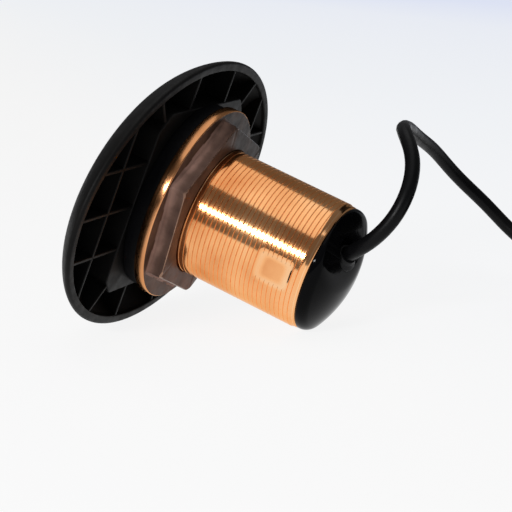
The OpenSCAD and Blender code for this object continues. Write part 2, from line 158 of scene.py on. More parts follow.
# Coil, its ties and the tail on it, which runs in steps from the coil's radius, outer radius and height
COIL_AT = np.array([177.0, 65.0, 1.0])
COIL_R = 45.5
COIL_TURNS = 5
COIL_LAYERS = 6
COIL_HALF = COIL_TURNS * CABLE_D / 2
COIL_OUT = COIL_R + COIL_HALF
COIL_H = COIL_LAYERS * CABLE_D
COIL_TOP = np.array([COIL_R, COIL_OUT, COIL_H])
STUB_LEN = 32.0
TAIL_ROUTE = [(-34.75, -3.5, 0.2), (-24, -7, 3.6), (-13, -14, 5.5), (-5.5, -23.5, 7.3), (-1.2, -35, 8.8)]
TIE_T = 1.0
TIE_W = 8.0
TIE_TURNS = (140, 215, 290)

# Connector on the coil, z along it from the cable to its nose
BOOT_LEN = 24.0
PLUG_R = 7.6
PLUG_LEN = 38.0
NOSE_R = 6.6
NOSE_LEN = 14.0
RING_R = 9.5
RING_LEN = 16.0
RING_BORE_R = 7.7
INSERT_BORE_R = 5.3
INSERT_LEN = 10.0
PLUG_BACK = 47.0
PLUG_AT = COIL_AT + COIL_TOP + np.array([0, -PLUG_BACK, RING_R])

# Camera fitted to the photograph: its place in metres, its lens and sensor in millimetres
CAMERA_AT = (0.30791, -0.71429, 0.16316)
CAMERA_AZIMUTH = math.radians(22.56)
CAMERA_ELEVATION = math.radians(9.75)
CAMERA_ROLL = math.radians(-1.21)
CAMERA_LENS = 128.86
CAMERA_SENSOR = 36.0


def mount(name):
    """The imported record's mount of that name."""
    return next(m for m in frame["record"]["mounts"] if m["name"] == name)


def lay_matrix():
    """Places the stem's frame, in metres, as the part lies."""
    axis = Vector(mount("stem")["axis"])
    rim = Vector(mount("hull_face")["pos_m"])
    turn = math.pi / 2 + math.atan2(-axis.z, axis.x)
    return Matrix.Translation((rim.x, 0, rim.z)) @ Matrix.Rotation(turn, 4, "Y")


LAY = lay_matrix()
PLUG = Matrix.Translation(PLUG_AT * MM) @ Matrix.Rotation(math.pi / 2, 4, "X")


def facet_height(s):
    """Height of the cap's facet at a distance s from the stem's axis, towards the outlet."""
    return FACET_Z + math.tan(FACET_TILT) * (CAP_R - s)


def outlet_matrix():
    """Places the cable outlet's frame, z along the cable as it leaves, in the stem's frame."""
    at = Vector((OUTLET_R * math.cos(CAP_TURN), OUTLET_R * math.sin(CAP_TURN), facet_height(OUTLET_R)))
    return (
        Matrix.Translation(at * MM)
        @ Matrix.Rotation(CAP_TURN, 4, "Z")
        @ Matrix.Rotation(OUTLET_TILT, 4, "Y")
    )


OUTLET = LAY @ outlet_matrix()


# Mesh helpers

def in_metres(verts):
    """Points in millimetres, for Blender."""
    return [tuple(c * MM for c in v) for v in verts]


def add_mesh(name, verts, faces, matrix, material, sharp=35):
    """A smooth-shaded mesh piece from points in millimetres, laid by a matrix and riding on the part."""
    mesh = bpy.data.meshes.new(name)
    mesh.from_pydata(in_metres(verts), [], faces)
    clean = bmesh.new()
    clean.from_mesh(mesh)
    bmesh.ops.remove_doubles(clean, verts=clean.verts, dist=MERGE)
    bmesh.ops.dissolve_degenerate(clean, edges=clean.edges, dist=MERGE)
    bmesh.ops.recalc_face_normals(clean, faces=clean.faces)
    clean.to_mesh(mesh)
    clean.free()
    mesh.shade_smooth()
    mesh.set_sharp_from_angle(angle=math.radians(sharp))
    piece = bpy.data.objects.new(name, mesh)
    bpy.context.collection.objects.link(piece)
    piece.matrix_world = matrix
    mesh.materials.append(material)
    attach(piece, "root")
    return piece


def skin(rows, closed=False, seam=lambda row: row):
    """Points and faces over rows of equal rings. Closed joins the last row to the first.

    Seam gives the row that the end of a row runs into, which is the row itself unless the rows climb.
    """
    n = len(rows[0])
    verts = [v for row in rows for v in row]
    pairs = [(k, k + 1) for k in range(len(rows) - 1)]
    if closed:
        pairs.append((len(rows) - 1, 0))
    faces = []
    for low, high in pairs:
        for i in range(n - 1):
            faces.append((low * n + i, low * n + i + 1, high * n + i + 1, high * n + i))
        faces.append((low * n + n - 1, seam(low) * n, seam(high) * n, high * n + n - 1))
    return verts, faces


def capped(rows):
    """Points and faces over rows of equal rings, with a flat face over the first row and over the last."""
    verts, faces = skin(rows)
    n = len(rows[0])
    last = len(verts) - n
    faces.append(tuple(reversed(range(n))))
    faces.append(tuple(range(last, last + n)))
    return verts, faces


def turns(n=ROUND):
    """Angles of n points round a circle."""
    return [2 * math.pi * i / n for i in range(n)]


def quarter(steps):
    """Angles of a quarter turn in equal steps."""
    return [math.pi / 2 * k / steps for k in range(steps + 1)]


def loop(reach, z, n=ROUND):
    """Ring of points at a height. Reach gives the distance from the axis at an angle."""
    return [(reach(t) * math.cos(t), reach(t) * math.sin(t), z) for t in turns(n)]


def ring(r, z, n=ROUND):
    """Circle of points at a height."""
    return loop(lambda t: r, z, n)


def fillet(points, steps=4):
    """Outline in (r, z) with its corners rounded. Each point is (r, z, radius)."""
    out = []
    count = len(points)
    for i, (r, z, radius) in enumerate(points):
        here = np.array([r, z])
        if radius == 0:
            out.append((r, z))
            continue
        before = np.array(points[i - 1][:2]) - here
        after = np.array(points[(i + 1) % count][:2]) - here
        before /= np.linalg.norm(before)
        after /= np.linalg.norm(after)
        half = math.acos(np.clip(before @ after, -1, 1)) / 2
        back = radius / math.tan(half)
        centre = here + (before + after) / np.linalg.norm(before + after) * radius / math.sin(half)
        start = here + before * back - centre
        end = here + after * back - centre
        a0 = math.atan2(start[1], start[0])
        sweep = (math.atan2(end[1], end[0]) - a0 + math.pi) % (2 * math.pi) - math.pi
        for k in range(steps + 1):
            a = a0 + sweep * k / steps
            out.append((centre[0] + radius * math.cos(a), centre[1] + radius * math.sin(a)))
    return out


def lathe(name, points, matrix, material):
    """Ring-shaped piece turned from a closed outline of (r, z, rounding)."""
    rows = [ring(r, z) for r, z in fillet(points)]
    return add_mesh(name, *skin(rows, closed=True), matrix, material)


def carve(piece, verts, faces, matrix, sharp):
    """Cuts a solid, from points in millimetres laid by a matrix, out of a piece."""
    mesh = bpy.data.meshes.new("cutter")
    mesh.from_pydata(in_metres(verts), [], faces)
    cutter = bpy.data.objects.new("cutter", mesh)
    bpy.context.collection.objects.link(cutter)
    cutter.matrix_world = matrix
    cut = piece.modifiers.new("cut", "BOOLEAN")
    cut.operation = "DIFFERENCE"
    cut.solver = "EXACT"
    cut.object = cutter
    graph = bpy.context.evaluated_depsgraph_get()
    graph.update()
    carved = bpy.data.meshes.new_from_object(piece.evaluated_get(graph))
    piece.modifiers.clear()
    bpy.data.objects.remove(cutter)
    bpy.data.meshes.remove(mesh)
    carved.set_sharp_from_angle(angle=math.radians(sharp))
    piece.data = carved


def clamp(value):
    """The value kept between 0 and 1."""
    return min(max(value, 0.0), 1.0)


def ease(value):
    """The value kept between 0 and 1, with a soft start and end."""
    share = clamp(value)
    return share * share * (3 - 2 * share)


def smooth_min(a, b, k):
    """The lesser of two lengths, with a rounding of about k where they cross."""
    h = max(k - abs(a - b), 0.0) / k
    return min(a, b) - h * h * k / 4


# Materials

class Finish:
    """A procedural material on one Principled shader, with the few nodes that its textures need."""

    def __init__(self, name, color, roughness, metallic=0.0, **sockets):
        self.material = bpy.data.materials.new(name)
        self.material.use_nodes = True
        self.tree = self.material.node_tree
        self.shader = self.tree.nodes["Principled BSDF"]
        self.set("Base Color", (*color, 1.0))
        self.set("Roughness", roughness)
        self.set("Metallic", metallic)
        for socket, value in sockets.items():
            self.set(socket.replace("_", " "), value)
        self.coords = self.tree.nodes.new("ShaderNodeTexCoord").outputs["Object"]
        self.material.diffuse_color = (*color, 1.0)

    def set(self, socket, value):
        """Sets a socket of the shader to a constant."""
        self.shader.inputs[socket].default_value = value

    def node(self, kind, **inputs):
        """A node with some inputs set to constants or linked from outputs."""
        made = self.tree.nodes.new(kind)
        for key, value in inputs.items():
            self.feed(made.inputs[key.replace("_", " ")], value)
        return made

    def feed(self, socket, value):
        """Links an output to a socket, or sets a constant on it."""
        if isinstance(value, bpy.types.NodeSocket):
            self.tree.links.new(value, socket)
        else:
            socket.default_value = value

    def apart(self, coords=None):
        """Outputs X, Y and Z of some coordinates, or of the object's."""
        return self.node("ShaderNodeSeparateXYZ", Vector=coords or self.coords).outputs

    def stretched(self, scale):
        """Object coordinates scaled along each axis."""
        return self.node("ShaderNodeMapping", Vector=self.coords, Scale=scale).outputs["Vector"]

    def noise(self, scale, detail=3.0, coords=None):
        """Noise from 0 to 1, scale per metre."""
        made = self.node("ShaderNodeTexNoise", Vector=coords or self.coords, Scale=scale, Detail=detail)
        return made.outputs["Fac"]

    def spread(self, value, low, high, start=0.3, end=0.7):
        """Value mapped from start..end to low..high and clamped."""
        made = self.node("ShaderNodeMapRange", Value=value)
        for key, number in (("From Min", start), ("From Max", end), ("To Min", low), ("To Max", high)):
            made.inputs[key].default_value = number
        return made.outputs["Result"]

    def colors(self, value, stops):
        """Colour ramp over a value, from (place, colour) stops."""
        made = self.node("ShaderNodeValToRGB", Fac=value)
        ramp = made.color_ramp
        while len(ramp.elements) < len(stops):
            ramp.elements.new(0.5)
        for element, (place, color) in zip(ramp.elements, stops):
            element.position = place
            element.color = (*color, 1.0)
        return made.outputs["Color"]

    def math(self, operation, a, b):
        """Two values joined by a math node."""
        made = self.tree.nodes.new("ShaderNodeMath")
        made.operation = operation
        self.feed(made.inputs[0], a)
        self.feed(made.inputs[1], b)
        return made.outputs["Value"]

    def drive(self, socket, value):
        """Links a texture to a socket of the shader."""
        self.tree.links.new(value, self.shader.inputs[socket])

    def turning_lines(self):
        """Fine lines round the z axis, as a lathe leaves them."""
        return self.noise(1.0, 3, self.stretched((30, 30, 2600)))

    def bump(self, height, depth):
        """Bump of the shader's normal, depth in millimetres."""
        made = self.node("ShaderNodeBump", Height=height, Distance=depth * MM, Strength=1.0)
        self.drive("Normal", made.outputs["Normal"])


# Mouldings: dark and pale colour, roughness, index of refraction, grain per metre, its depth in millimetres
MOULDINGS = {
    "fairing_plastic": ((0.0038, 0.0036, 0.0034), (0.0066, 0.0062, 0.0058), 0.5, 1.2, 1400, 0.03),
    "collar_plastic": ((0.0025, 0.0025, 0.0035), (0.0045, 0.0045, 0.006), 0.5, 1.2, 1400, 0.03),
    "window_rubber": ((0.016, 0.016, 0.018), (0.026, 0.026, 0.028), 0.5, 1.5, 1400, 0.03),
    "cable_jacket": ((0.0022, 0.0022, 0.0026), (0.004, 0.004, 0.0045), 0.4, 1.22, 900, 0.02),
    "soft_rubber": ((0.004, 0.004, 0.0045), (0.007, 0.007, 0.0075), 0.5, 1.3, 1400, 0.03),
    "connector_plastic": ((0.014, 0.014, 0.016), (0.022, 0.022, 0.024), 0.34, 1.5, 1400, 0.03),
    "tie_plastic": ((0.02, 0.02, 0.022), (0.03, 0.03, 0.033), 0.45, 1.5, 700, 0.02),
}


def moulded(name):
    """Moulded plastic or rubber of that name: a fine grain, faint blotches and an uneven gloss."""
    dark, pale, roughness, refraction, grain, depth = MOULDINGS[name]
    finish = Finish(name, dark, roughness, IOR=refraction)
    blotch = finish.noise(60, 4)
    finish.drive("Base Color", finish.colors(blotch, [(0.3, dark), (0.75, pale)]))
    finish.drive("Roughness", finish.spread(finish.noise(180, 3), roughness - 0.06, roughness + 0.08))
    finish.bump(finish.noise(grain, 2), depth)
    return finish.material


def gloss_black():
    """Glossy cap: faint waviness under a clear surface."""
    finish = Finish("gloss_black", (0.0025, 0.0025, 0.003), 0.07, IOR=1.13)
    finish.drive("Roughness", finish.spread(finish.noise(90, 3), 0.04, 0.09))
    finish.bump(finish.noise(260, 2), 0.012)
    return finish.material


BRONZE_TINT = (1.0, 0.8, 0.6, 1.0)


def threaded_bronze():
    """The stem's bronze: turning lines, tarnish, a colour darker towards the nut and a pale border on the
    bare flat.

    The grooves get a paler colour, because their relief darkens them by itself.
    """
    finish = Finish("threaded_bronze", (0.85, 0.35, 0.13), 0.16, 1.0, Specular_Tint=BRONZE_TINT)
    lines = finish.turning_lines()
    reach = flat_reach(finish)
    broken = finish.math("MULTIPLY", groove_share(finish), finish.spread(finish.noise(420, 2), 0.4, 1.6))
    grooves = finish.math("MULTIPLY", broken, finish.spread(reach, 0.0, 0.6, 0.98, 1.02))
    border = finish.math(
        "MULTIPLY", finish.spread(reach, 0.0, 0.3, 0.5, 0.75), finish.spread(reach, 1.0, 0.0, 0.88, 1.05)
    )
    # Darker towards the nut and paler up to about two thirds of the stem's length.
    darker_near_nut = finish.spread(finish.apart()["Z"], -0.15, 0.08, NUT_TOP * MM, 0.62 * STEM_LEN * MM)
    mottle = finish.math("ADD", finish.noise(45, 5), darker_near_nut)
    # Sum of the mottle, the darkening towards the nut, the flat's border and the grooves' paler colour.
    tarnish = finish.math("ADD", finish.math("ADD", mottle, border), grooves)
    stops = [
        (0.05, (0.46, 0.17, 0.06)), (0.3, (0.76, 0.3, 0.106)),
        (0.66, (0.97, 0.48, 0.205)), (1.0, (1.0, 0.62, 0.34)),
    ]
    finish.drive("Base Color", finish.colors(tarnish, stops))
    finish.drive("Roughness", finish.spread(lines, 0.08, 0.16))
    finish.bump(lines, 0.006)
    return finish.material


def groove_share(finish):
    """1 in the middle of the thread's groove and 0 on its crest, along the stem's helix."""
    apart = finish.apart()
    around = finish.math("DIVIDE", finish.math("ARCTAN2", apart["Y"], apart["X"]), 2 * math.pi)
    along = finish.math("DIVIDE", finish.math("SUBTRACT", apart["Z"], THREAD_Z * MM), THREAD_PITCH * MM)
    helix = finish.math("MULTIPLY", finish.math("SUBTRACT", along, around), 2 * math.pi)
    wave = finish.math("COSINE", helix, 0.0)
    crest = math.cos(math.pi * (1 - 2 * GROOVE_HALF))
    return finish.spread(wave, 1.0, 0.0, -1.0, crest)


def flat_reach(finish):
    """0 in the middle of the stem's bare flat, 1 at its edges and more outside it."""
    squareness = 5.0
    far = 10.0
    turned = finish.node("ShaderNodeMapping", Vector=finish.coords, Rotation=(0.0, 0.0, -FLAT_TURN))
    apart = finish.apart(turned.outputs["Vector"])
    across = finish.math("DIVIDE", finish.math("ABSOLUTE", apart["Y"], 0.0), FLAT_HALF_WID * MM)
    along = finish.math("ABSOLUTE", finish.math("SUBTRACT", apart["Z"], FLAT_MID * MM), 0.0)
    along = finish.math("DIVIDE", along, FLAT_LEN / 2 * MM)
    behind = finish.math("MULTIPLY", finish.math("LESS_THAN", apart["X"], 0.0), far)
    across = finish.math("POWER", across, squareness)
    along = finish.math("POWER", along, squareness)
    both = finish.math("POWER", finish.math("ADD", across, along), 1 / squareness)
    return finish.math("ADD", both, behind)


def flange_bronze():
    """The nut's turned flange: duller than the stem."""
    finish = Finish("flange_bronze", (0.7, 0.31, 0.13), 0.28, 1.0, Specular_Tint=BRONZE_TINT)
    tarnish = finish.noise(70, 5)
    finish.drive("Base Color", finish.colors(tarnish, [(0.3, (0.58, 0.25, 0.1)), (0.7, (0.78, 0.36, 0.16))]))
    lines = finish.turning_lines()
    finish.drive("Roughness", finish.spread(lines, 0.15, 0.24))
    finish.bump(lines, 0.01)
    return finish.material


def cast_bronze():
    """Cast skin on the nut's sides: dark brown and grainy, paler towards the flange as a painted highlight,
    with painted shade on its far side.
    """
    finish = Finish("cast_bronze", (0.12, 0.075, 0.06), 0.45, metallic=0.08, IOR=1.15)
    # Painted highlight: the flats paler towards the flange, where the foot's fillet catches light.
    pale_edge = finish.spread(finish.apart()["Z"], 0.5, 0.0, (NUT_FOOT + 0.3) * MM, (NUT_FOOT + 5) * MM)
    patches_and_painted_light = finish.math("ADD", finish.math("MULTIPLY", finish.noise(120, 6), 0.7), pale_edge)
    # Painted shade darkens the far side.
    patches_and_painted_light = finish.math("SUBTRACT", patches_and_painted_light, far_side_shade(finish))
    stops = [(0.1, (0.045, 0.025, 0.019)), (0.5, (0.16, 0.094, 0.072)), (0.9, (0.5, 0.3, 0.235))]
    finish.drive("Base Color", finish.colors(patches_and_painted_light, stops))
    finish.drive("Roughness", finish.spread(finish.noise(300, 4), 0.36, 0.58))
    finish.bump(finish.noise(700, 4), 0.06)
    return finish.material


def far_side_shade(finish):
    """Painted shade: how much darker the nut's skin is made on its far side."""
    apart = finish.apart()
    up = finish.math("MULTIPLY", apart["X"], -0.6)
    side = finish.math("ADD", finish.math("MULTIPLY", apart["Y"], 0.8), up)
    return finish.spread(side, 0.0, 0.45, 4 * MM, 22 * MM)


def shaded_crown_bronze():
    """Crown and step of the nut: brown, darkened with painted shade, with bronze showing through in spots of
    wear.
    """
    finish = Finish("shaded_crown_bronze", (0.1, 0.055, 0.036), 0.4, metallic=0.15, IOR=1.12)
    # Painted shade darkens the far side.
    patches_and_painted_light = finish.math("SUBTRACT", finish.noise(90, 5), far_side_shade(finish))
    # Dark stops: painted shade over the crown and the step.
    stops = [(0.0, (0.03, 0.018, 0.014)), (0.3, (0.1, 0.056, 0.038)), (0.72, (0.24, 0.13, 0.085))]
    finish.drive("Base Color", finish.colors(patches_and_painted_light, stops))
    finish.drive("Roughness", finish.spread(finish.noise(260, 4), 0.3, 0.46))
    finish.bump(finish.noise(600, 4), 0.03)
    return finish.material


def rubbed_bronze():
    """Edge of the nut's crown, bared to the metal."""
    finish = Finish("rubbed_bronze", (0.34, 0.19, 0.12), 0.3, metallic=0.8)
    # Painted shade darkens the far side.
    patches_and_painted_light = finish.math("SUBTRACT", finish.noise(160, 5), far_side_shade(finish))
    stops = [(0.05, (0.05, 0.03, 0.022)), (0.35, (0.2, 0.115, 0.08)), (0.7, (0.42, 0.25, 0.17))]
    finish.drive("Base Color", finish.colors(patches_and_painted_light, stops))
    finish.drive("Roughness", finish.spread(finish.noise(400, 4), 0.2, 0.36))
    return finish.material


def plain(name, color, roughness, metallic=0.0, scale=400):
    """Hidden or small pieces: a colour with a fine mottle."""
    finish = Finish(name, color, roughness, metallic)
    dark = tuple(c * 0.8 for c in color)
    finish.drive("Base Color", finish.colors(finish.noise(scale, 4), [(0.3, dark), (0.7, color)]))
    finish.bump(finish.noise(3 * scale, 2), 0.02)
    return finish.material


# Camera and cord

def add_camera():
    """Camera at the photograph's place, with its tilt and lens."""
    azimuth, elevation = CAMERA_AZIMUTH, CAMERA_ELEVATION
    back = Vector((
        math.sin(azimuth) * math.cos(elevation), -math.cos(azimuth) * math.cos(elevation), math.sin(elevation)
    ))
    level = Vector((math.cos(azimuth), math.sin(azimuth), 0))
    rise = back.cross(level)
    right = math.cos(CAMERA_ROLL) * level + math.sin(CAMERA_ROLL) * rise
    up = back.cross(right)
    camera = bpy.data.objects.new("camera", bpy.data.cameras.new("camera"))
    bpy.context.collection.objects.link(camera)
    turn = Matrix((right, up, back)).transposed().to_4x4()
    camera.matrix_world = Matrix.Translation(CAMERA_AT) @ turn
    camera.data.lens = CAMERA_LENS
    camera.data.sensor_width = CAMERA_SENSOR
    bpy.context.scene.camera = camera


def spline_through(points, steps):
    """Smooth curve close to the points: a cubic B-spline on points pushed out by their own bend."""
    p = np.array(points, float)
    pushed = p.copy()
    pushed[1:-1] -= (p[:-2] - 2 * p[1:-1] + p[2:]) / 6
    ends = np.vstack([2 * pushed[0] - pushed[1], pushed, 2 * pushed[-1] - pushed[-2]])
    out = []
    for i in range(len(p) - 1):
        for k in range(steps):
            t = k / steps
            weights = ((1 - t) ** 3, 3 * t**3 - 6 * t**2 + 4, -3 * t**3 + 3 * t**2 + 3 * t + 1, t**3)
            out.append(sum(w * point for w, point in zip(weights, ends[i:i + 4])) / 6)
    out.append(p[-1])
    return out


def coil_points():
    """Centre line of the coil: spirals in and out on alternate layers, clockwise from its outer edge."""
    per_turn = 40
    climb_turns = 0.25
    out = []
    for k in range(COIL_TURNS * COIL_LAYERS * per_turn + 1):
        u = k / per_turn
        layer = min(int(u // COIL_TURNS), COIL_LAYERS - 1)
        inward = (u - COIL_TURNS * layer) / COIL_TURNS
        share = inward if layer % 2 == 0 else 1 - inward
        r = COIL_OUT - 2 * COIL_HALF * share
        level = layer
        step = round(u / COIL_TURNS)
        if 0 < step < COIL_LAYERS:
            level = step - 1 + ease((u - COIL_TURNS * step) / climb_turns + 0.5)
        a = math.pi / 2 - 2 * math.pi * u
        out.append(COIL_AT + (r * math.cos(a), r * math.sin(a), CABLE_D / 2 + CABLE_D * level))
    return out


def cable_line():
    """Whole centre line of the cable, from inside the cap to the connector's boot, in millimetres."""
    start = [np.array(OUTLET @ Vector((0, 0, z * MM))) / MM for z in (-CABLE_GRIP, -CABLE_GRIP / 2, 0)]
    entry = COIL_AT + np.array([-STUB_LEN, COIL_OUT, CABLE_D / 2])
    middle = COIL_AT + np.array([-STUB_LEN / 2, COIL_OUT, CABLE_D / 2])
    free = spline_through([*start, *CABLE_ROUTE, entry, middle], 5)
    coil = coil_points()
    tail = [coil[-1], *(COIL_AT + (COIL_TOP + step) for step in TAIL_ROUTE), PLUG_AT]
    return free + coil + spline_through(tail, 5)[1:]


def add_cable(jacket):
    """The cable as one curve with a round section."""
    curve = bpy.data.curves.new("cable_run", "CURVE")
    curve.dimensions = "3D"
    curve.bevel_depth = CABLE_D / 2 * MM
    curve.bevel_resolution = 5
    curve.use_fill_caps = True
    line = cable_line()
    spline = curve.splines.new("POLY")
    spline.points.add(len(line) - 1)
    for point, place in zip(spline.points, line):
        point.co = (*(place * MM), 1.0)
    spline.use_smooth = True
    curve.materials.append(jacket)
    cable = bpy.data.objects.new("cable_run", curve)
    bpy.context.collection.objects.link(cable)
    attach(cable, "root")
    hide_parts("cable", "cable_coil", "cable_tail")
    return cable


def add_ties(material):
    """Three straps round the coil's bundle, each a band with rounded corners and bevelled edges."""
    gap_in, gap_out = 0.25, 0.1
    in_r = COIL_R - COIL_HALF - CABLE_D / 2 - gap_in
    out_r = COIL_OUT + CABLE_D / 2 + gap_out
    bevel = 0.3
    half = TIE_W / 2

    def strap(grow, corner_r):
        low, high = -grow, COIL_H + grow
        corners = [(in_r - grow, low), (out_r + grow, low), (out_r + grow, high), (in_r - grow, high)]
        return fillet([(r, z, corner_r) for r, z in corners], 6)

    inside, outside = strap(grow=0.0, corner_r=2), strap(grow=TIE_T, corner_r=3)
    sections = [(-half, inside), (bevel - half, outside), (half - bevel, outside), (half, inside)]
    verts, faces = skin([[(r, y, z) for r, z in section] for y, section in sections], closed=True)
    for k, turn in enumerate(TIE_TURNS):
        place = Matrix.Translation(COIL_AT * MM) @ Matrix.Rotation(math.radians(turn), 4, "Z")
        tie = add_mesh(f"coil_tie_{k + 1}", verts, faces, place, material)
        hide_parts("coil_ties")


# Fairing

def oval(side, end, z, n=2 * ROUND):
    """Ring of the fairing's oval, set in from its outline at the sides and at the ends."""
    a, b = FAIRING_WID / 2 - side, FAIRING_LEN / 2 - end
    return [(a * math.cos(t), b * math.sin(t), z) for t in turns(n)]


def between(ring_a, ring_b, share):
    """Ring part of the way from one ring to another."""
    return [tuple(p + (q - p) * share for p, q in zip(v, w)) for v, w in zip(ring_a, ring_b)]


def nose_arc(steps):
    """Shares of inset and depth down the fairing's slope, from its edge to its flat face."""
    return [(1 - max(math.cos(a), 0.0) ** NOSE_POWER, math.sin(a) ** NOSE_POWER) for a in quarter(steps)]


def hollow_height(x, y):
    """Height of the fairing's inner surface under a point, by halving the share of its inset."""
    halvings = 30
    low, high = 0.0, 1.0
    for _ in range(halvings):
        share = (low + high) / 2
        a = FAIRING_WID / 2 - LIP_W - FLOOR_SIDE * share
        b = FAIRING_LEN / 2 - LIP_W - FLOOR_END * share
        inside = (x / a) ** 2 + (y / b) ** 2 < 1
        low, high = (share, high) if inside else (low, share)
    lean = (1 - low) ** (2 / NOSE_POWER)
    return -EDGE_H - FLOOR_RISE * (1 - lean) ** (NOSE_POWER / 2)


def fairing_shell():
    """Skin of the shell: flat wet face, slope, straight edge, rounded lip and the hollow's floor."""
    inner_round = 0.6
    seat = ring(SEAT_R, -FAIRING_DEPTH, 2 * ROUND)
    face = oval(SIDE_INSET, END_INSET, -FAIRING_DEPTH)
    rows = [seat, between(seat, face, 0.5), between(seat, face, 0.9)]
    for share, deep in reversed(nose_arc(18)):
        rows.append(oval(SIDE_INSET * share, END_INSET * share, -EDGE_H - NOSE_RISE * deep))
    for a in quarter(6):
        inset = EDGE_ROUND * (1 - math.cos(a))
        rows.append(oval(inset, inset, -EDGE_ROUND + EDGE_ROUND * math.sin(a)))
    for a in quarter(5):
        inset = LIP_W - inner_round + inner_round * math.sin(a)
        rows.append(oval(inset, inset, -inner_round + inner_round * math.cos(a)))
    for share, deep in nose_arc(14):
        rows.append(oval(LIP_W + FLOOR_SIDE * share, LIP_W + FLOOR_END * share, -EDGE_H - FLOOR_RISE * deep))
    under = ring(SEAT_R, FLOOR_Z, 2 * ROUND)
    rows.append(between(rows[-1], under, 0.1))
    rows.append(under)
    return skin(rows, closed=True)


def hub_reach(t):
    """Distance from the axis to the hub's side at an angle, with its corners cut and rounded."""
    corner_round = 1.2
    tiny = 1e-9
    x, y = HUB_WID / 2, HUB_LEN / 2
    c, s = abs(math.cos(t)), abs(math.sin(t))
    cut = x + y - HUB_CORNER
    reach = sorted((cut / (c + s), x / max(c, tiny), y / max(s, tiny)))
    return smooth_min(reach[0], reach[1], corner_round)


def hub_block():
    """Skin of the hub that carries the stem, with a rounded top edge and the stem's stepped bore."""
    n = 2 * ROUND
    top_round = 0.6
    sink = 1.0
    floor_z = FLOOR_Z - sink

    def outline(inset, z):
        return loop(lambda t: hub_reach(t) - inset, z, n)

    rows = [outline(0, floor_z), outline(0, -top_round)]
    for a in quarter(4)[1:]:
        rows.append(outline(top_round * (1 - math.cos(a)), -top_round + top_round * math.sin(a)))
    rows += [ring(STEM_HOLE_R, 0, n), ring(STEM_HOLE_R, -SEAT_Z, n)]
    rows += [ring(SEAT_R, -SEAT_Z, n), ring(SEAT_R, floor_z, n)]
    return skin(rows, closed=True)


def rib_plate(start, end):
    """One rib between two points of the plan. Its foot follows the hollow, and its top edge is rounded."""
    steps = 36
    sink = 1.2
    edge = 0.3
    half = RIB_T / 2
    p, q = np.array(start, float), np.array(end, float)
    along = (q - p) / np.linalg.norm(q - p)
    side = np.array([-along[1], along[0]])
    rows = []
    for k in range(steps + 1):
        x, y = p + (q - p) * k / steps
        foot = hollow_height(x, y) - sink
        outline = [
            (-half, foot), (-half, -RIB_DROP - edge), (-half + edge, -RIB_DROP),
            (half - edge, -RIB_DROP), (half, -RIB_DROP - edge), (half, foot),
        ]
        rows.append([(x + side[0] * o, y + side[1] * o, max(z, foot)) for o, z in outline])
    return capped(rows)


def rim_point(start, direction):
    """Where a line across the plan meets the lip, a little inside its wall."""
    sink = 1.0
    a, b = FAIRING_WID / 2 - LIP_W + sink, FAIRING_LEN / 2 - LIP_W + sink
    p, d = np.array(start, float), np.array(direction, float)
    k = np.array([1 / a, 1 / b])
    qa, qb, qc = (k * d) @ (k * d), 2 * (k * p) @ (k * d), (k * p) @ (k * p) - 1
    return p + d * (-qb + math.sqrt(qb * qb - 4 * qa * qc)) / (2 * qa)


def rib_lines():
    """Start and end of each rib on the fairing's plan."""
    sink = 1.0
    lines = []
    for s in (-1, 1):
        for x in (-RIB_PITCH, 0, RIB_PITCH):
            start = (x, s * (HUB_LEN / 2 - sink))
            lines.append((start, rim_point(start, (0, s))))
        lines.append((rim_point((0, s * END_RIB_Y), (-1, 0)), rim_point((0, s * END_RIB_Y), (1, 0))))
        for side in (-1, 1):
            start = (side * (HUB_WID / 2 - sink), s * SIDE_RIB_Y)
            lines.append((start, rim_point(start, (side, 0))))
            corner = (side * (HUB_WID - HUB_CORNER) / 2, s * (HUB_LEN - HUB_CORNER) / 2)
            lines.append((corner, rim_point(corner, (side * HUB_LEN, s * HUB_WID))))
    return lines


def add_fairing(material):
    """The fairing: shell, hub and ribs."""
    shell = add_mesh("fairing_shell", *fairing_shell(), LAY, material)
    hub = add_mesh("fairing_hub", *hub_block(), LAY, material)
    verts, faces = [], []
    for start, end in rib_lines():
        more_verts, more_faces = rib_plate(start, end)
        faces += [tuple(i + len(verts) for i in face) for face in more_faces]
        verts += more_verts
    ribs = add_mesh("fairing_ribs", verts, faces, LAY, material)
    for piece in (shell, hub, ribs):
        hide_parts("fairing")


# Stem, washer and nut

def thread_depth(share):
    """Depth of the thread's groove at a share of its pitch. The crests are wide and flat."""
    return THREAD_DEPTH * ease(1 - abs(share - 0.5) / GROOVE_HALF)


